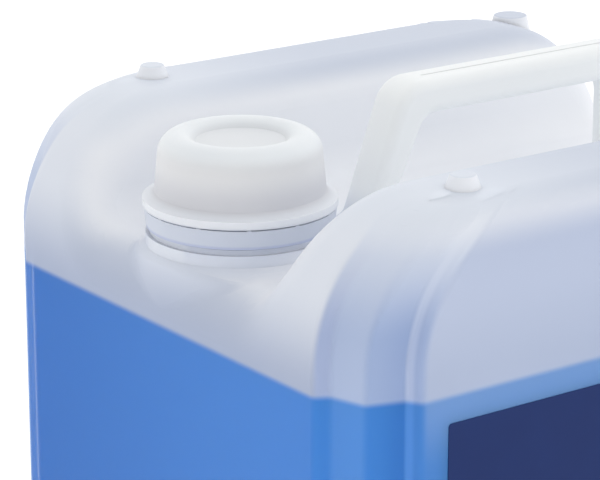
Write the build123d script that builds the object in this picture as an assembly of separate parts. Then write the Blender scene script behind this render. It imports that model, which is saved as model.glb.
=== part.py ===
"""Stackable plastic canister, part filled with a clear blue cleaning concentrate.

The can stands on Z = 0 with its plan centred on the origin. X runs along the can, with the neck at
the -X end. The label face looks to -Y. All sizes are in millimetres.
"""

import math
import os

from build123d import *

# Can, overall
can_length = 286.0
can_width = 256.0
shoulder_height = 373.0
wall = 2.5
foot_radius = 10.0
shoulder_edge_radius = 18.0
neck_end_radius = 58.0
far_end_radius = 46.0
crown_lead = 8.0

# Fluted upright corners: a step in from each face, then two facets that meet at a ridge
corner_radius = 30.0
flute_span = 28.0
flute_shelf = 24.8
flute_depth = 5.5
flute_ridge = 10.2
flute_round = 2.8
plain_corner_round = 20.0
flute_fade_delay = 20.0
flute_fade_length = 30.0

# Channel along the top, between the two long shoulders
channel_depth = 44.6
channel_mouth_width = 146.0
channel_draft = 14.0
channel_floor_round = 18.0
channel_mouth_round = 20.0
mouth_round_share = 0.6

# Recess under the base that clears the handle of a can below
base_recess_length = 210.0
base_recess_width = 150.0
base_recess_depth = 14.0
base_recess_corner = 20.0
base_recess_draft = 6.0

# Stacking pips on the shoulders, and the pockets in the base that take them
near_pip_setback = 65.6
far_pip_setback = 26.0
pip_spread = 205.0
near_pip_base = 14.6
near_pip_top = 9.8
near_pip_rise = 5.0
near_pip_root = 1.5
far_pip_base = 20.6
far_pip_top = 15.0
far_pip_rise = 0.2
far_pip_root = 12.0
pip_round = 1.0
pocket_clearance = 1.0

# Neck, with heights measured from the plane of the cap's rim
neck_setback = 38.6
cap_rim_drop = 25.6
neck_bore = 50.0
neck_outside = 57.0
lip_rise = 20.4
lip_chamfer = 1.0
bead_diameter = 66.0
bead_foot_drop = 4.6
bead_height = 1.2
bead_ramp_rise = 3.3
neck_root_diameter = 63.0
collar_diameter = 74.0
collar_top_drop = 10.6
collar_band = 4.6
collar_foot_diameter = 92.0
collar_foot_drop = 20.0
collar_flare_radius = 12.0
collar_nose_radius = 60.0
collar_nose_setback = 0.4
collar_nose_round = 4.0
collar_foot_round = 8.0
collar_step_diameter = 71.0
collar_step_gap = 0.5

# Moulded handle, with lengths along the can measured from the neck's axis
handle_rise = 12.0
handle_width = 20.0
handle_bar_height = 14.0
handle_front_foot = 53.8
handle_lean = 20.0
handle_elbow_radius = 14.0
handle_foot_thickness = 11.0
handle_elbow_thickness = 15.5
handle_inner_radius = 9.0
handle_rear = 206.0
handle_rear_thickness = 18.0
handle_rear_radius = 16.0
handle_edge_radius = 4.2
handle_root = 8.0
handle_foot_round = 7.0
handle_groove_width = 1.4
handle_groove_depth = 1.0

# Screw cap, with heights measured up from the plane of its rim
cap_flange_diameter = 76.0
cap_flange_height = 3.0
cap_skirt_foot_diameter = 67.0
cap_skirt_foot_rise = 5.6
cap_flare_radius = 6.0
cap_skirt_top_diameter = 64.0
cap_skirt_top_rise = 20.6
cap_height = 28.3
cap_crest_diameter = 48.0
cap_recess_mouth_diameter = 39.0
cap_recess_mouth_drop = 1.6
cap_recess_floor_diameter = 35.0
cap_recess_depth = 3.2
cap_bore = 61.6
cap_plate_rise = 22.4

# Tamper ring left on the neck under the cap
ring_top_diameter = 75.2
ring_foot_diameter = 73.4
ring_top_drop = 0.6
ring_foot_drop = 8.1
ring_bore = 67.2
ring_lip_bore = 64.6
ring_lip_height = 1.8
bridge_count = 12
bridge_width = 1.6
bridge_depth = 2.0
bridge_gap = 0.3

# Sealing disc in the cap
seal_diameter = 60.4
seal_gap = 0.3

# Liquid and label, with drops measured down from where the upright walls end
liquid_drop = 2.2
liquid_gap = 0.3
label_drop = 12.5
label_width = 206.0
label_height = 220.0
label_corner = 1.5
label_thickness = 0.3

# One overrun for every cut, and one tolerance for picking edges by their place
overrun = 5.0
touch = 0.01

neck_x = -can_length / 2 + neck_setback
rim_z = shoulder_height - cap_rim_drop
channel_floor = shoulder_height - channel_depth
crown_start = shoulder_height - neck_end_radius
upright_top = crown_start - crown_lead
liquid_level = upright_top - liquid_drop
label_top = upright_top - label_drop
near_pip_x = -can_length / 2 + near_pip_setback
far_pip_x = can_length / 2 - far_pip_setback


def arc_setback(radius, rise):
    """How far a quarter round of this radius has drawn in, at a rise above its start."""
    reach = min(max(rise, 0), radius)
    return radius - math.sqrt(radius**2 - reach**2)


def corner_points(height):
    """Half of a corner's outline at a height, from the end face to the ridge, and its rounding.

    Each point is (distance from the end face, distance from the long face). The flutes give way to a
    plain round corner as the shoulder curves back.
    """
    fade_share = min(max((height - crown_start - flute_fade_delay) / flute_fade_length, 0), 1)
    fluted = [(0, flute_span), (flute_depth, flute_shelf), (flute_ridge, flute_ridge)]
    turns = [math.radians(turn) for turn in (0, 22.5, 45)]
    plain = [(corner_radius * (1 - math.cos(t)), corner_radius * (1 - math.sin(t))) for t in turns]
    points = [
        (flute[0] + fade_share * (bare[0] - flute[0]), flute[1] + fade_share * (bare[1] - flute[1]))
        for flute, bare in zip(fluted, plain)
    ]
    return points, flute_round + fade_share * (plain_corner_round - flute_round)


def can_outline(height, inset):
    """The can's level outline at a height, drawn in by inset: a rectangle with fluted corners.

    Where the long edges round over, the corners are squashed so that they keep clear of the channel.
    """
    top = shoulder_height - inset
    neck_round = neck_end_radius - inset
    far_round = far_end_radius - inset
    edge_round = shoulder_edge_radius - inset
    foot_round = foot_radius - inset
    foot_in = inset + arc_setback(foot_round, inset + foot_round - height)
    low_x = -can_length / 2 + foot_in + arc_setback(neck_round, height - top + neck_round)
    high_x = can_length / 2 - foot_in - arc_setback(far_round, height - top + far_round)
    edge_in = arc_setback(edge_round, height - top + edge_round)
    half_y = can_width / 2 - foot_in - edge_in

    half_corner, rounding = corner_points(height)
    corner = half_corner + [(v, u) for u, v in reversed(half_corner[:-1])]
    squash_share = 1 - edge_in / flute_span
    corner = [(u, v * squash_share) for u, v in corner]
    points = [(low_x + u, v - half_y) for u, v in corner]
    points += [(high_x - u, v - half_y) for u, v in reversed(corner)]
    points += [(high_x - u, half_y - v) for u, v in corner]
    points += [(low_x + u, half_y - v) for u, v in reversed(corner)]
    outline = make_face(Polyline(*points, close=True))
    return Pos(0, 0, height) * fillet(outline.vertices(), rounding * squash_share)


def can_block(inset):
    """The closed can, drawn in by inset: rounded foot, upright walls, and a crown that curves back."""
    top = shoulder_height - inset
    foot_round = foot_radius - inset
    foot_top = inset + foot_round
    edge_round = shoulder_edge_radius - inset
    edge_start = top - edge_round
    foot_turns = [math.radians(turn) for turn in (90, 60, 30, 0)]
    foot_levels = [foot_top - foot_round * math.sin(turn) for turn in foot_turns]
    edge_turns = [math.radians(turn) for turn in (0, 30, 58, 90)]
    rise_shares = (0, 0.34, 0.67)
    crown_levels = [upright_top]
    crown_levels += [crown_start + share * (edge_start - crown_start) for share in rise_shares]
    crown_levels += [edge_start + edge_round * math.sin(turn) for turn in edge_turns]

    foot = loft([can_outline(level, inset) for level in foot_levels])
    upright = extrude(can_outline(foot_top, inset), upright_top - foot_top)
    crown = loft([can_outline(level, inset) for level in crown_levels])
    return foot + upright + crown


def channel_space(inset):
    """The space along the top between the shoulders, drawn out by inset, with a rounded floor."""
    slope = channel_draft / channel_depth
    floor = channel_floor - inset
    height = channel_depth + inset + overrun
    half_floor = channel_mouth_width / 2 - channel_draft + inset * (math.hypot(1, slope) - slope)
    half_top = half_floor + slope * height
    points = [
        (-half_floor, floor),
        (half_floor, floor),
        (half_top, floor + height),
        (-half_top, floor + height),
    ]
    section = Plane.YZ * make_face(Polyline(*points, close=True))
    section = fillet(section.vertices().sort_by(Axis.Z)[:2], channel_floor_round + inset)
    return extrude(section, can_length / 2 + overrun, both=True)


def cut_channel(block, inset):
    """Cuts the channel out of a can block and rounds the edge where it meets the outside.

    A narrow shoulder limits the rounding to a share of its flat top.
    """
    shoulder_flat = (can_width - channel_mouth_width) / 2 - shoulder_edge_radius
    rounding = min(channel_mouth_round, mouth_round_share * shoulder_flat)
    space = channel_space(inset)
    cut = block - space
    mouth = [
        edge
        for edge in new_edges(block, space, combined=cut)
        if edge.geom_type != GeomType.LINE or edge.center().Z > shoulder_height - inset - touch
    ]
    return fillet(mouth, rounding - inset)


def base_recess(inset):
    """The tapered recess under the base, drawn out by inset."""
    flare = base_recess_draft * overrun / base_recess_depth
    sections = []
    for level, grow in ((-overrun, inset + flare), (base_recess_depth + inset, inset - base_recess_draft)):
        length = base_recess_length + 2 * grow
        width = base_recess_width + 2 * grow
        sections.append(Pos(0, 0, level) * RectangleRounded(length, width, base_recess_corner + grow))
    return loft(sections)


def stacking_pips():
    """Four blunt cones on the shoulders, the far pair standing where the shoulder falls away."""
    pips = []
    for x, base, top, rise, root in (
        (near_pip_x, near_pip_base, near_pip_top, near_pip_rise, near_pip_root),
        (far_pip_x, far_pip_base, far_pip_top, far_pip_rise, far_pip_root),
    ):
        cone = Cone(base / 2, top / 2, root + rise, align=(Align.CENTER, Align.CENTER, Align.MIN))
        cone = fillet(cone.edges().sort_by(Axis.Z)[-1], pip_round)
        pips += [Pos(x, side * pip_spread / 2, shoulder_height - root) * cone for side in (-1, 1)]
    return pips


def pip_pockets(inset):
    """Pockets under the base, drawn out by inset, that fit over the pips of a can below."""
    pockets = []
    for x, base, rise in ((near_pip_x, near_pip_base, near_pip_rise), (far_pip_x, far_pip_base, far_pip_rise)):
        radius = base / 2 + pocket_clearance + inset
        height = rise + pocket_clearance + inset + overrun
        pocket = Cylinder(radius, height, align=(Align.CENTER, Align.CENTER, Align.MIN))
        pockets += [Pos(x, side * pip_spread / 2, -overrun) * pocket for side in (-1, 1)]
    return pockets


def can_form(inset):
    """The can with its channel, base recess and pockets, drawn in by inset all round."""
    form = cut_channel(can_block(inset), inset) - base_recess(inset)
    return form - pip_pockets(inset)


def neck_form():
    """The collar that flares out of the channel floor, the step under the ring, the bead and the lip."""
    collar_r = collar_diameter / 2
    foot_r = collar_foot_diameter / 2
    root_r = neck_root_diameter / 2
    step_r = collar_step_diameter / 2
    bead_r = bead_diameter / 2
    outer_r = neck_outside / 2
    low = upright_top - rim_z
    flare_top = -collar_top_drop - collar_band
    step_top = -ring_foot_drop - collar_step_gap
    bead_top = -bead_foot_drop + bead_height
    outline = Polyline((0, lip_rise), (0, low), (foot_r, low), (foot_r, -collar_foot_drop))
    outline += RadiusArc((foot_r, -collar_foot_drop), (collar_r, flare_top), collar_flare_radius)
    outline += Polyline(
        (collar_r, flare_top),
        (collar_r, -collar_top_drop),
        (step_r, -collar_top_drop),
        (step_r, step_top),
        (root_r, step_top),
        (root_r, -bead_foot_drop),
        (bead_r, -bead_foot_drop),
        (bead_r, bead_top),
        (outer_r, bead_top + bead_ramp_rise),
        (outer_r, lip_rise - lip_chamfer),
        (outer_r - lip_chamfer, lip_rise),
        (0, lip_rise),
    )
    neck = Pos(neck_x, 0, rim_z) * revolve(Plane.XZ * make_face(outline), Axis.Z)
    nose_x = -can_length / 2 + collar_nose_setback + collar_nose_radius
    nose = Pos(nose_x, 0, upright_top) * Circle(collar_nose_radius)
    neck = neck & extrude(nose, rim_z + lip_rise + overrun - upright_top)
    brow = neck.edges().filter_by(GeomType.BSPLINE)
    return fillet(brow, collar_nose_round)


def neck_bore_space():
    """The bore through the neck, flared below the collar into the can."""
    bore_r = neck_bore / 2
    flare_r = neck_setback - collar_nose_setback - 2 * wall
    low = channel_floor - wall - overrun - rim_z
    points = [
        (0, lip_rise + overrun),
        (bore_r, lip_rise + overrun),
        (bore_r, -collar_top_drop - wall),
        (flare_r, low),
        (0, low),
    ]
    bore = revolve(Plane.XZ * make_face(Polyline(*points, close=True)), Axis.Z)
    return Pos(neck_x, 0, rim_z) * bore


def handle_form(inset):
    """The bar and its two pillars, drawn in by inset, with their long edges rounded."""
    top = shoulder_height + handle_rise
    under = top - handle_bar_height
    low = channel_floor - handle_root
    lean_share = math.tan(math.radians(handle_lean))
    front = neck_x + handle_front_foot
    rear = neck_x + handle_rear
    inner_foot = front + handle_foot_thickness
    inner_elbow = front + lean_share * (under - channel_floor) + handle_elbow_thickness
    inner_lean_share = (inner_elbow - inner_foot) / (under - channel_floor)
    elbow = (front + lean_share * (top - channel_floor), top)
    rear_elbow = (rear, top)
    inner_rear_elbow = (rear - handle_rear_thickness, under)
    points = [
        (front + lean_share * (low - channel_floor), low),
        elbow,
        rear_elbow,
        (rear, low),
        (rear - handle_rear_thickness, low),
        inner_rear_elbow,
        (inner_elbow, under),
        (inner_foot + inner_lean_share * (low - channel_floor), low),
    ]
    side = make_face(Polyline(*points, close=True))
    for corner, radius in (
        (elbow, handle_elbow_radius),
        (rear_elbow, handle_rear_radius),
        (inner_rear_elbow, handle_inner_radius),
        ((inner_elbow, under), handle_inner_radius),
    ):
        side = fillet(side.vertices().sort_by_distance(corner)[0], radius)
    if inset:
        side = offset(side, -inset)
    bar = extrude(Plane.XZ * side, handle_width / 2 - inset, both=True)
    foot = bar.bounding_box().min.Z + touch
    sides = bar.faces().filter_by(Axis.Y)
    long_edges = [edge for edge in sides.edges() if edge.center().Z > foot]
    return fillet(long_edges, handle_edge_radius - inset)


def handle_groove():
    """The parting groove along the top of the bar, between its two elbows."""
    top = shoulder_height + handle_rise
    lean_share = math.tan(math.radians(handle_lean))
    start = neck_x + handle_front_foot + lean_share * (top - channel_floor) + handle_elbow_radius
    end = neck_x + handle_rear - handle_rear_radius
    half = handle_groove_width / 2
    points = [(-half, top + touch), (half, top + touch), (0, top - handle_groove_depth)]
    section = Plane.YZ * make_face(Polyline(*points, close=True))
    return Pos(start, 0, 0) * extrude(section, end - start)


def canister_body():
    """The one-piece blown shell: walls, shoulders, channel, neck, handle and pips."""
    outside = can_form(0)
    for piece, foot_round in ((neck_form(), collar_foot_round), (handle_form(0), handle_foot_round)):
        joined = outside + piece
        outside = fillet(new_edges(outside, piece, combined=joined), foot_round)
    outside = outside + stacking_pips()
    inside = can_form(wall) + handle_form(wall) + neck_bore_space()
    return outside - inside - handle_groove()


def screw_cap():
    """The cap: a skirt on a wide flange, a rounded top rim and a dished middle."""
    flange_r = cap_flange_diameter / 2
    foot = (cap_skirt_foot_diameter / 2, cap_skirt_foot_rise)
    shoulder = (cap_skirt_top_diameter / 2, cap_skirt_top_rise)
    crest = (cap_crest_diameter / 2, cap_height)
    mouth = (cap_recess_mouth_diameter / 2, cap_height - cap_recess_mouth_drop)
    floor = (cap_recess_floor_diameter / 2, cap_height - cap_recess_depth)
    bore_r = cap_bore / 2
    crown = math.sqrt(0.5)
    crown_middle = (
        crest[0] + crown * (shoulder[0] - crest[0]),
        shoulder[1] + crown * (crest[1] - shoulder[1]),
    )
    outline = Polyline((0, cap_plate_rise), (bore_r, cap_plate_rise), (bore_r, 0), (flange_r, 0))
    outline += Line((flange_r, 0), (flange_r, cap_flange_height))
    outline += RadiusArc((flange_r, cap_flange_height), foot, cap_flare_radius)
    outline += Line(foot, shoulder)
    outline += ThreePointArc(shoulder, crown_middle, crest)
    outline += TangentArc(crest, mouth, tangent=(-1, 0))
    outline += Polyline(mouth, floor, (0, floor[1]), (0, cap_plate_rise))
    return Pos(neck_x, 0, rim_z) * revolve(Plane.XZ * make_face(outline), Axis.Z)


def tamper_ring():
    """The ring that stays on the neck, held by its inner lip, with the stubs of its bridges on top."""
    top_r = ring_top_diameter / 2
    foot_r = ring_foot_diameter / 2
    bore_r = ring_bore / 2
    lip_r = ring_lip_bore / 2
    lip_top = -ring_foot_drop + ring_lip_height
    points = [
        (bore_r, -ring_top_drop),
        (top_r, -ring_top_drop),
        (foot_r, -ring_foot_drop),
        (lip_r, -ring_foot_drop),
        (lip_r, lip_top),
        (bore_r, lip_top + bore_r - lip_r),
    ]
    ring = revolve(Plane.XZ * make_face(Polyline(*points, close=True)), Axis.Z)
    height = ring_top_drop - bridge_gap
    stub = Box(bridge_depth, bridge_width, 2 * height, align=(Align.MAX, Align.CENTER, Align.CENTER))
    places = PolarLocations(top_r - touch, bridge_count)
    stubs = [Pos(0, 0, -ring_top_drop) * place * stub for place in places]
    return Pos(neck_x, 0, rim_z) * (ring + stubs)


def seal_disc():
    """The soft disc between the cap's plate and the lip of the neck."""
    low = lip_rise + seal_gap
    height = cap_plate_rise - seal_gap - low
    disc = Cylinder(seal_diameter / 2, height, align=(Align.CENTER, Align.CENTER, Align.MIN))
    return Pos(neck_x, 0, rim_z + low) * disc


def liquid():
    """The concentrate: the inside of the can, a little clear of the wall, up to its level."""
    fill = can_form(wall + liquid_gap)
    keep = Box(can_length, can_width, liquid_level, align=(Align.CENTER, Align.CENTER, Align.MIN))
    return fill & keep


def label():
    """The film stuck on the long face that looks to -Y."""
    sheet = RectangleRounded(label_width, label_height, label_corner)
    face = Plane.XZ.offset(can_width / 2) * sheet
    return Pos(0, 0, label_top - label_height / 2) * extrude(face, label_thickness)


pieces = {
    "canister_body": canister_body,
    "screw_cap": screw_cap,
    "tamper_ring": tamper_ring,
    "seal_disc": seal_disc,
    "liquid": liquid,
    "label": label,
}

os.makedirs("parts", exist_ok=True)
for name, make in pieces.items():
    export_step(make(), f"parts/{name}.step")
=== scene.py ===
import math

import bpy
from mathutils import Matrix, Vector


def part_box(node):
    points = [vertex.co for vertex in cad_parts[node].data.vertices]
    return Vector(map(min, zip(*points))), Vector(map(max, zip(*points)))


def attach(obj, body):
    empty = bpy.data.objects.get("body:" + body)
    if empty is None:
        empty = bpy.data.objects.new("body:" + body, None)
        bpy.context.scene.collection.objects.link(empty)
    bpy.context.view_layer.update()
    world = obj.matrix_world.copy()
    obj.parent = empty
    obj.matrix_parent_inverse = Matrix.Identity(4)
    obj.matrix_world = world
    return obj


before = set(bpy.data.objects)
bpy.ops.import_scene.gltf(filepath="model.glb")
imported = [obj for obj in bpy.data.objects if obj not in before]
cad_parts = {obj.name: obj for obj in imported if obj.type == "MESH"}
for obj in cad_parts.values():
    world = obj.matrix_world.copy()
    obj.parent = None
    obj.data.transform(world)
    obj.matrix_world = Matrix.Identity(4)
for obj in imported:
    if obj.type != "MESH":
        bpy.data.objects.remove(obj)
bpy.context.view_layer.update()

# Canister body: the can itself, blown in one piece from natural high-density polyethylene.
# The unpigmented wall is milky, and where liquid wets it the blue comes through. Much of the colour is
# painted light and shade:
# painted highlight and shade bands on the fluted corners that run up into the crown, outer walls and tops
# painted darker than the insides, painted light in the wet blue towards the liquid line, and a painted
# shade on the collar round the neck. The thick handle is whiter.

half_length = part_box("canister_body")[1][0]
half_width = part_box("canister_body")[1][1]
liquid_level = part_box("liquid")[1][2]
neck_x = (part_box("screw_cap")[0][0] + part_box("screw_cap")[1][0]) / 2
shoulder_top = 0.373
neck_end_round = 0.058
far_end_round = 0.046
long_edge_round = 0.018
channel_floor = 0.3284
handle_half = 0.0105
collar_reach = 0.044
near_pip = (-0.0774, 0.1025, 0)
near_pip_reach = 0.0074
skin_fold = 0.002
line_blur = 0.0016
dry_opacity = 0.94
wet_opacity = 0.6
cloud_size = 0.045
peel_size = 0.0042
peel_depth = 0.00006
peel_strength = 0.25


def linear(code):
    """A colour given as sRGB hex, as linear red, green, blue and alpha."""
    parts = [int(code[i : i + 2], 16) / 255 for i in (0, 2, 4)]
    return [p / 12.92 if p <= 0.04045 else ((p + 0.055) / 1.055) ** 2.4 for p in parts] + [1.0]


def add(tree, kind, inputs=None, **settings):
    """Adds a node with its settings. An input is a value, a hex colour or another node's output."""
    node = tree.nodes.new(kind)
    for name, value in settings.items():
        setattr(node, name, value)
    for name, value in (inputs or {}).items():
        if isinstance(value, bpy.types.NodeSocket):
            tree.links.new(value, node.inputs[name])
        else:
            node.inputs[name].default_value = linear(value) if isinstance(value, str) else value
    return node.outputs


# Natural polyethylene, blow-moulded: a satin, milky wall with a faint orange peel, paler where it is thick.
polyethylene = bpy.data.materials.new("natural_polyethylene")
polyethylene.use_nodes = True
tree = polyethylene.node_tree
shader = tree.nodes["Principled BSDF"]
surface = add(tree, "ShaderNodeTexCoord")
place = surface["Object"]
x, y, z = add(tree, "ShaderNodeSeparateXYZ", {"Vector": place})
along = add(tree, "ShaderNodeMath", {0: x}, operation="ABSOLUTE")["Value"]
aside = add(tree, "ShaderNodeMath", {0: y}, operation="ABSOLUTE")["Value"]
plan = add(tree, "ShaderNodeVectorMath", {0: place, 1: (1, 1, 0)}, operation="MULTIPLY")["Vector"]
outward = add(tree, "ShaderNodeVectorMath", {0: plan}, operation="NORMALIZE")["Vector"]
from_neck = add(tree, "ShaderNodeVectorMath", {0: plan, 1: (neck_x, 0, 0)}, operation="DISTANCE")["Value"]
clouds = add(tree, "ShaderNodeTexNoise", {"Vector": place, "Scale": 1 / cloud_size})["Fac"]

# The skin has hair-thin folds near the top of each shoulder corner. On the crest the normal follows the
# quarter rounds of the crown instead of the mesh, so that the folds don't show as lines.
turns = []
for value, sign, radius, half in (
    (x, -1, neck_end_round, half_length),
    (x, 1, far_end_round, half_length),
    (aside, 1, long_edge_round, half_width),
):
    inputs = {0: value, 1: sign / radius, 2: 1 - half / radius}
    turn = add(tree, "ShaderNodeMath", inputs, operation="MULTIPLY_ADD")["Value"]
    turns.append(add(tree, "ShaderNodeMath", {0: turn, 1: 0.0}, operation="MAXIMUM")["Value"])
lean_x = add(tree, "ShaderNodeMath", {0: turns[1], 1: turns[0]}, operation="SUBTRACT")["Value"]
side = add(tree, "ShaderNodeMath", {0: y}, operation="SIGN")["Value"]
lean_y = add(tree, "ShaderNodeMath", {0: turns[2], 1: side}, operation="MULTIPLY")["Value"]
crest_normal = add(tree, "ShaderNodeCombineXYZ", {"X": lean_x, "Y": lean_y, "Z": 1.0})["Vector"]
quarter = add(tree, "ShaderNodeCombineXYZ", {"X": x, "Y": aside})["Vector"]
from_pip = add(tree, "ShaderNodeVectorMath", {0: quarter, 1: near_pip}, operation="DISTANCE")["Value"]

# Each limit of the crest: what is measured, where the crest's share is none, and where it is full.
on_crest = 1.0
for value, none, full in (
    (z, shoulder_top - 0.0024, shoulder_top - 0.0018),
    (z, shoulder_top + 0.0004, shoulder_top + 0.0001),
    (aside, 0.090, 0.095),
    (x, 0.1055, 0.1030),
    (from_pip, near_pip_reach, near_pip_reach + 0.0006),
):
    share = add(
        tree,
        "ShaderNodeMapRange",
        {"Value": value, "From Min": none, "From Max": full},
        interpolation_type="SMOOTHSTEP",
    )["Result"]
    on_crest = add(tree, "ShaderNodeMath", {0: on_crest, 1: share}, operation="MULTIPLY")["Value"]
normal = add(
    tree,
    "ShaderNodeMix",
    {"Factor": on_crest, "A": surface["Normal"], "B": crest_normal},
    data_type="VECTOR",
)["Result"]
normal = add(tree, "ShaderNodeVectorMath", {0: normal}, operation="NORMALIZE")["Vector"]
tilt = add(tree, "ShaderNodeSeparateXYZ", {"Vector": normal})["Z"]
facing = add(tree, "ShaderNodeVectorMath", {0: normal, 1: outward}, operation="DOT_PRODUCT")["Value"]

# How far the crown has drawn in at this height, at the end and along the long edge.
at_neck_end = add(tree, "ShaderNodeMath", {0: x, 1: 0.0}, operation="LESS_THAN")["Value"]
end_round = add(
    tree,
    "ShaderNodeMath",
    {0: at_neck_end, 1: neck_end_round - far_end_round, 2: far_end_round},
    operation="MULTIPLY_ADD",
)["Value"]
above_top = add(tree, "ShaderNodeMath", {0: z, 1: shoulder_top}, operation="SUBTRACT")["Value"]
drawn_in = []
for radius in (end_round, long_edge_round):
    rise = add(tree, "ShaderNodeMath", {0: above_top, 1: radius}, operation="ADD")["Value"]
    rise = add(tree, "ShaderNodeMath", {0: rise, 1: 0.0}, operation="MAXIMUM")["Value"]
    rise_square = add(tree, "ShaderNodeMath", {0: rise, 1: rise}, operation="MULTIPLY")["Value"]
    round_square = add(tree, "ShaderNodeMath", {0: radius, 1: radius}, operation="MULTIPLY")["Value"]
    reach = add(tree, "ShaderNodeMath", {0: round_square, 1: rise_square}, operation="SUBTRACT")["Value"]
    reach = add(tree, "ShaderNodeMath", {0: reach}, operation="SQRT")["Value"]
    drawn_in.append(add(tree, "ShaderNodeMath", {0: radius, 1: reach}, operation="SUBTRACT")["Value"])

# The way around a corner: below zero on the end's side, zero on the ridge, above zero on the long side.
around = aside
for operation, step in (
    ("SUBTRACT", along),
    ("ADD", half_length - half_width),
    ("SUBTRACT", drawn_in[0]),
    ("ADD", drawn_in[1]),
):
    around = add(tree, "ShaderNodeMath", {0: around, 1: step}, operation=operation)["Value"]

# Each zone of the wall: what is measured, where the zone's share is none, and where it is full.
shares = {}
for name, value, none, full in (
    ("wet", z, liquid_level + line_blur, liquid_level - line_blur),
    ("by_line", z, liquid_level + 0.040, liquid_level),
    ("under_line", z, liquid_level - 0.030, liquid_level),
    ("by_flute", z, liquid_level + 0.064, liquid_level + 0.022),
    ("upright", z, shoulder_top + 0.001, shoulder_top - 0.018),
    ("outside", facing, 0.05, 0.75),
    ("level", tilt, 0.5, 0.95),
    ("high", z, shoulder_top - 0.023, shoulder_top - 0.011),
    ("raised", z, channel_floor + 0.001, channel_floor + 0.016),
    ("by_handle", aside, handle_half + 0.004, handle_half),
    ("by_neck", from_neck, collar_reach, collar_reach - 0.012),
    ("near_side", y, half_width, -0.100),
    ("past_end", around, -0.0295, -0.0255),
    ("past_corner", around, 0.0265, 0.0315),
    ("far_along", x, -0.110, 0.010),
):
    shares[name] = add(
        tree,
        "ShaderNodeMapRange",
        {"Value": value, "From Min": none, "From Max": full},
        interpolation_type="SMOOTHSTEP",
    )["Result"]
for name, first, second in (
    ("outer_wall", "outside", "upright"),
    ("level_top", "level", "high"),
    ("handle", "by_handle", "raised"),
    ("neck", "by_neck", "raised"),
):
    inputs = {0: shares[first], 1: shares[second]}
    shares[name] = add(tree, "ShaderNodeMath", inputs, operation="MULTIPLY")["Value"]

colours = {}
for name, share, first, second in (
    ("pale", clouds, "f8faff", "f3f6fc"),
    # Painted blue-grey shade on the dry wall just above the liquid line.
    ("end_shade_by_line", clouds, "aeb9d2", "a6b2cc"),
    ("long_shade_by_line", clouds, "b4c0da", "adbad6"),
    # The wet blue is painted lighter towards the near side of the end and towards the liquid line on the
    # long face, as painted light.
    ("end_wet", shares["near_side"], "0e77d4", "4092e8"),
    ("long_wet", shares["under_line"], "4791df", "7dace6"),
    # The level tops are painted darker towards the far end, as painted shade.
    ("top", shares["far_along"], "e4eaf4", "cdd5e5"),
):
    layers = {"Factor": share, "A": first, "B": second}
    colours[name] = add(tree, "ShaderNodeMix", layers, data_type="RGBA")["Result"]

# Each painted band of a fluted corner: where it starts on the way around, how softly, and its dry and wet
# colour.
# The bands are painted highlight and shade: lighter on facets that face the bright sides of the room,
# darker on those facing the dim side.
dry_flute_shading = "a4b3d6"
wet_flute_shading = colours["end_wet"]
for start, blur, dry_colour, wet_colour in (
    (-0.0275, 0.0020, "a8b7da", "3e95e9"),
    (-0.0190, 0.0030, "b1c1e1", "58a1ef"),
    (-0.0005, 0.0030, "9db1d8", "388fe4"),
    (0.0100, 0.0080, "96abd5", "2882d8"),
    (0.0190, 0.0012, "b4c3e4", "5aa4f4"),
    (0.0232, 0.0014, "a0b3da", "4694e4"),
):
    share = add(
        tree,
        "ShaderNodeMapRange",
        {"Value": around, "From Min": start - blur, "From Max": start + blur},
        interpolation_type="SMOOTHSTEP",
    )["Result"]
    layers = {"Factor": share, "A": dry_flute_shading, "B": dry_colour}
    dry_flute_shading = add(tree, "ShaderNodeMix", layers, data_type="RGBA")["Result"]
    layers = {"Factor": share, "A": wet_flute_shading, "B": wet_colour}
    wet_flute_shading = add(tree, "ShaderNodeMix", layers, data_type="RGBA")["Result"]

# Each layer of the paint: its name, the share it covers, and what lies under and over it.
for name, share, first, second in (
    ("end_dry", "by_line", "e6ebf5", colours["end_shade_by_line"]),
    ("corner_dry", "by_flute", "dfe6f4", dry_flute_shading),
    # The long face is painted darker and bluer than the end face, as painted shade.
    ("long_dry", "by_line", "bcc7e0", colours["long_shade_by_line"]),
    ("wall_dry", "past_end", "end_dry", "corner_dry"),
    ("wall_dry", "past_corner", "wall_dry", "long_dry"),
    ("wall_wet", "past_corner", wet_flute_shading, "long_wet"),
    # The level tops and the outer walls are painted darker than the pale insides, as painted shade.
    ("paint", "level_top", "pale", "top"),
    ("paint", "outer_wall", "paint", "wall_dry"),
    ("paint", "handle", "paint", "fbfeff"),
    # The collar round the neck is painted a darker lavender grey, as painted shade under the cap.
    ("paint", "neck", "paint", "c2cbe0"),
    ("paint", "wet", "paint", "wall_wet"),
):
    layers = {"Factor": shares[share], "A": colours.get(first, first), "B": colours.get(second, second)}
    colours[name] = add(tree, "ShaderNodeMix", layers, data_type="RGBA")["Result"]
tree.links.new(colours["paint"], shader.inputs["Base Color"])

# Lighting rays shorter than skin_fold pass the wall, so that the layers of a fold don't shade each other.
opacity = add(
    tree,
    "ShaderNodeMapRange",
    {"Value": shares["wet"], "To Min": dry_opacity, "To Max": wet_opacity},
)["Result"]
ray = add(tree, "ShaderNodeLightPath")
inputs = {0: ray["Is Shadow Ray"], 1: ray["Is Diffuse Ray"]}
lighting = add(tree, "ShaderNodeMath", inputs, operation="MAXIMUM")["Value"]
close_by = add(tree, "ShaderNodeMath", {0: ray["Ray Length"], 1: skin_fold}, operation="LESS_THAN")["Value"]
folded = add(tree, "ShaderNodeMath", {0: lighting, 1: close_by}, operation="MULTIPLY")["Value"]
open_share = add(tree, "ShaderNodeMath", {0: 1.0, 1: folded}, operation="SUBTRACT")["Value"]
opacity = add(tree, "ShaderNodeMath", {0: opacity, 1: open_share}, operation="MULTIPLY")["Value"]
tree.links.new(opacity, shader.inputs["Alpha"])

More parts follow.
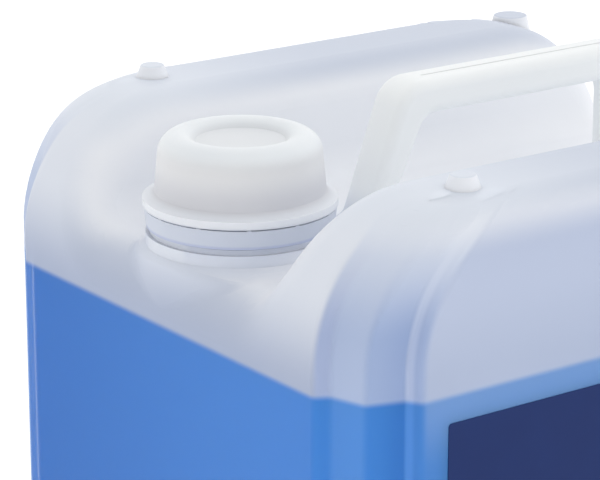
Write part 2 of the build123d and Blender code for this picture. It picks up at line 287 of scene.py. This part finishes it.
peel = add(tree, "ShaderNodeTexNoise", {"Vector": place, "Scale": 1 / peel_size})["Fac"]
bump = add(
    tree,
    "ShaderNodeBump",
    {"Height": peel, "Strength": peel_strength, "Distance": peel_depth, "Normal": normal},
)["Normal"]
tree.links.new(bump, shader.inputs["Normal"])
shader.inputs["Roughness"].default_value = 0.42
shader.inputs["IOR"].default_value = 1.54
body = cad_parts["canister_body"]
body.data.materials.clear()
body.data.materials.append(polyethylene)

# Neck thread: the coarse outside thread of the neck, blown as part of the can and hidden by the cap.
# It makes two turns of a 6 mm pitch just above the bead, and the cap's own thread runs between them.

thread_pitch = 0.006
thread_turns = 2
thread_root = 0.0284
thread_crest = 0.0302
thread_depth = thread_crest - thread_root
thread_middle = (thread_root + thread_crest) / 2
thread_foot_height = 0.0040
thread_crest_share = 0.45
thread_start = 0.3534
thread_steps = 72
sharp_angle = math.radians(35)

bpy.ops.object.select_all(action="DESELECT")
bpy.ops.mesh.primitive_plane_add(size=1.0)
thread = bpy.context.object
thread.name = "neck_thread"
bpy.ops.object.mode_set(mode="EDIT")
bpy.ops.mesh.select_all(action="SELECT")
bpy.ops.transform.rotate(value=math.pi / 2, orient_axis="X", center_override=(0, 0, 0))
bpy.ops.transform.resize(value=(thread_depth, 1, thread_foot_height), center_override=(0, 0, 0))
bpy.ops.transform.translate(value=(thread_middle, 0, 0))
bpy.ops.object.mode_set(mode="OBJECT")
for vertex in thread.data.vertices:
    vertex.select = vertex.co.x > thread_middle
for part in list(thread.data.edges) + list(thread.data.polygons):
    part.select = all(thread.data.vertices[i].select for i in part.vertices)
bpy.ops.object.mode_set(mode="EDIT")
bpy.ops.transform.resize(value=(1, 1, thread_crest_share), center_override=(thread_crest, 0, 0))
bpy.ops.object.mode_set(mode="OBJECT")
screw = thread.modifiers.new("screw", "SCREW")
screw.axis = "Z"
screw.angle = 2 * math.pi
screw.screw_offset = thread_pitch
screw.iterations = thread_turns
screw.steps = thread_steps
screw.render_steps = thread_steps
bpy.ops.object.modifier_apply(modifier="screw")
bpy.ops.object.mode_set(mode="EDIT")
bpy.ops.mesh.select_mode(type="EDGE")
bpy.ops.mesh.select_all(action="DESELECT")
bpy.ops.mesh.select_non_manifold()
bpy.ops.mesh.fill()
bpy.ops.mesh.select_all(action="SELECT")
bpy.ops.mesh.normals_make_consistent(inside=False)
bpy.ops.transform.translate(value=(neck_x, 0, thread_start))
bpy.ops.object.mode_set(mode="OBJECT")
bpy.ops.object.shade_smooth_by_angle(angle=sharp_angle)
thread.data.materials.append(polyethylene)
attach(thread, "canister")

# Liquid: a clear blue water-based cleaning concentrate, poured in up to the line seen through the wall.
# It is evenly dyed, so its colour hardly varies, and it shows only through the milky wall around it.

liquid_cloud_size = 0.11

concentrate = bpy.data.materials.new("blue_concentrate")
concentrate.use_nodes = True
tree = concentrate.node_tree
shader = tree.nodes["Principled BSDF"]
place = add(tree, "ShaderNodeTexCoord")["Object"]
clouds = add(tree, "ShaderNodeTexNoise", {"Vector": place, "Scale": 1 / liquid_cloud_size})["Fac"]
layers = {"Factor": clouds, "A": "1a7eea", "B": "1674e0"}
dye = add(tree, "ShaderNodeMix", layers, data_type="RGBA")["Result"]
tree.links.new(dye, shader.inputs["Base Color"])
shader.inputs["Roughness"].default_value = 0.2
shader.inputs["IOR"].default_value = 1.34
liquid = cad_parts["liquid"]
liquid.data.materials.clear()
liquid.data.materials.append(concentrate)

# Label: a polypropylene film printed dark blue all over, with cut and slightly rounded corners.
# It is stuck flat on one long face below the liquid line, and its satin varnish reflects little.

print_cloud_size = 0.016

film = bpy.data.materials.new("label_film")
film.use_nodes = True
tree = film.node_tree
shader = tree.nodes["Principled BSDF"]
place = add(tree, "ShaderNodeTexCoord")["Object"]
clouds = add(tree, "ShaderNodeTexNoise", {"Vector": place, "Scale": 1 / print_cloud_size})["Fac"]
layers = {"Factor": clouds, "A": "142e68", "B": "112961"}
ink = add(tree, "ShaderNodeMix", layers, data_type="RGBA")["Result"]
tree.links.new(ink, shader.inputs["Base Color"])
shader.inputs["Roughness"].default_value = 0.5
shader.inputs["Specular IOR Level"].default_value = 0.2
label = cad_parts["label"]
label.data.materials.clear()
label.data.materials.append(film)

# Screw cap and tamper ring: injection-moulded white polypropylene, one moulding until the first turn.
# The cap screws down on the neck, and the ring, torn off at its small bridges, stays under the neck's bead.
# The plastic lets a little light through, so shadows stay soft; the skirt's paling towards its crest is
# painted light and shade.

cap_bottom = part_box("screw_cap")[0][2]
cap_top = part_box("screw_cap")[1][2]
ring_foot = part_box("tamper_ring")[0][2]
recess_reach = 0.0205
flow_size = 0.025
scatter_share = 0.6
scatter_depth = 0.0025

polypropylene = bpy.data.materials.new("white_polypropylene")
polypropylene.use_nodes = True
tree = polypropylene.node_tree
shader = tree.nodes["Principled BSDF"]
place = add(tree, "ShaderNodeTexCoord")["Object"]
height = add(tree, "ShaderNodeSeparateXYZ", {"Vector": place})["Z"]
flow = add(tree, "ShaderNodeTexNoise", {"Vector": place, "Scale": 1 / flow_size})["Fac"]
plan = add(tree, "ShaderNodeVectorMath", {0: place, 1: (1, 1, 0)}, operation="MULTIPLY")["Vector"]
from_axis = add(tree, "ShaderNodeVectorMath", {0: plan, 1: (neck_x, 0, 0)}, operation="DISTANCE")["Value"]

# Each zone from the ring's foot up to the cap's recess: what is measured, its limits and its two tints.
# The lavender grey at the ring's foot is a painted shadow, the lower skirt is painted shade that pales
# towards the crest as painted light, and the recess is painted shade.
colour = "b4bdd8"
for value, none, full, first, second in (
    (height, ring_foot + 0.0004, ring_foot + 0.0016, "ced4e1", "c9d0de"),
    (height, cap_bottom - 0.0008, cap_bottom + 0.0012, "e6e9ef", "e2e6ed"),
    (height, cap_bottom + 0.0030, cap_bottom + 0.0060, "d6d7dc", "d2d3d9"),
    (height, cap_bottom + 0.0080, cap_bottom + 0.0190, "e6e7e9", "e2e3e6"),
    (height, cap_top - 0.0090, cap_top - 0.0020, "ecf0f3", "e8ecf0"),
    (from_axis, recess_reach, recess_reach - 0.0030, "e2e5e8", "dfe2e6"),
):
    share = add(
        tree,
        "ShaderNodeMapRange",
        {"Value": value, "From Min": none, "From Max": full},
        interpolation_type="SMOOTHSTEP",
    )["Result"]
    layers = {"Factor": flow, "A": first, "B": second}
    tint = add(tree, "ShaderNodeMix", layers, data_type="RGBA")["Result"]
    layers = {"Factor": share, "A": colour, "B": tint}
    colour = add(tree, "ShaderNodeMix", layers, data_type="RGBA")["Result"]
tree.links.new(colour, shader.inputs["Base Color"])
shader.inputs["Roughness"].default_value = 0.45
shader.inputs["IOR"].default_value = 1.49
shader.inputs["Subsurface Weight"].default_value = scatter_share
shader.inputs["Subsurface Radius"].default_value = (1.0, 1.0, 1.0)
shader.inputs["Subsurface Scale"].default_value = scatter_depth
for name in ("screw_cap", "tamper_ring"):
    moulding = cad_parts[name]
    moulding.data.materials.clear()
    moulding.data.materials.append(polypropylene)

# Seal disc: a disc punched from a sheet of closed-cell polyethylene foam.
# It is pressed into the cap and seals on the lip of the neck, so it is hidden while the cap is on.

foam_cell = 0.0008

foam = bpy.data.materials.new("seal_foam")
foam.use_nodes = True
tree = foam.node_tree
shader = tree.nodes["Principled BSDF"]
place = add(tree, "ShaderNodeTexCoord")["Object"]
cells = add(tree, "ShaderNodeTexVoronoi", {"Vector": place, "Scale": 1 / foam_cell})["Distance"]
layers = {"Factor": cells, "A": "e9e7e2", "B": "d9d6cf"}
skin = add(tree, "ShaderNodeMix", layers, data_type="RGBA")["Result"]
tree.links.new(skin, shader.inputs["Base Color"])
shader.inputs["Roughness"].default_value = 0.8
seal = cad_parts["seal_disc"]
seal.data.materials.clear()
seal.data.materials.append(foam)

# Floor: a plain sweep of white paper that runs out of sight.
# It lies just under the can and glows a little, so that it stays as white as the room around it.

floor_size = 40.0
floor_drop = 0.0005
paper_glow = 0.25

bpy.ops.object.select_all(action="DESELECT")
bpy.ops.mesh.primitive_plane_add(size=floor_size, location=(0, 0, -floor_drop))
floor = bpy.context.object
floor.name = "floor"
paper = bpy.data.materials.new("white_paper")
paper.use_nodes = True
shader = paper.node_tree.nodes["Principled BSDF"]
shader.inputs["Base Color"].default_value = linear("f6f6f6")
shader.inputs["Roughness"].default_value = 0.9
shader.inputs["Emission Color"].default_value = (1, 1, 1, 1)
shader.inputs["Emission Strength"].default_value = paper_glow
floor.data.materials.append(paper)

# Light: a white room that lights the can softly from all around.
# It is brightest behind the can and to its right, and dimmer towards the camera.

bright_side = (0.90, 0.42, 0.1)
dim_light = 0.74
bright_light = 1.18

scene = bpy.context.scene
scene.view_settings.view_transform = "Standard"
world = bpy.data.worlds.new("white_room")
scene.world = world
world.use_nodes = True
tree = world.node_tree
direction = add(tree, "ShaderNodeTexCoord")["Generated"]
inputs = {0: direction, 1: bright_side}
towards = add(tree, "ShaderNodeVectorMath", inputs, operation="DOT_PRODUCT")["Value"]
strength = add(
    tree,
    "ShaderNodeMapRange",
    {"Value": towards, "From Min": -1.0, "From Max": 1.0, "To Min": dim_light, "To Max": bright_light},
    interpolation_type="SMOOTHSTEP",
)["Result"]
backdrop = tree.nodes["Background"]
tree.links.new(strength, backdrop.inputs["Strength"])
backdrop.inputs["Color"].default_value = (1, 1, 1, 1)

# Camera: the photograph's view, from a little above the can and past its neck end, with a long lens.
# The picture cuts off the foot of the can and its far end, as the photograph does.

eye_place = (-0.7234, -0.8896, 0.6684)
eye_direction = (0.5620, 0.7721, -0.2965)
lens_length = 174.96
sensor_width = 36.0
sight_length = 100.0

eye = bpy.data.cameras.new("camera")
eye.lens = lens_length
eye.sensor_width = sensor_width
eye.sensor_fit = "HORIZONTAL"
eye.clip_end = sight_length
camera = bpy.data.objects.new("camera", eye)
camera.location = eye_place
camera.rotation_euler = Vector(eye_direction).to_track_quat("-Z", "Y").to_euler()
scene.collection.objects.link(camera)
scene.camera = camera
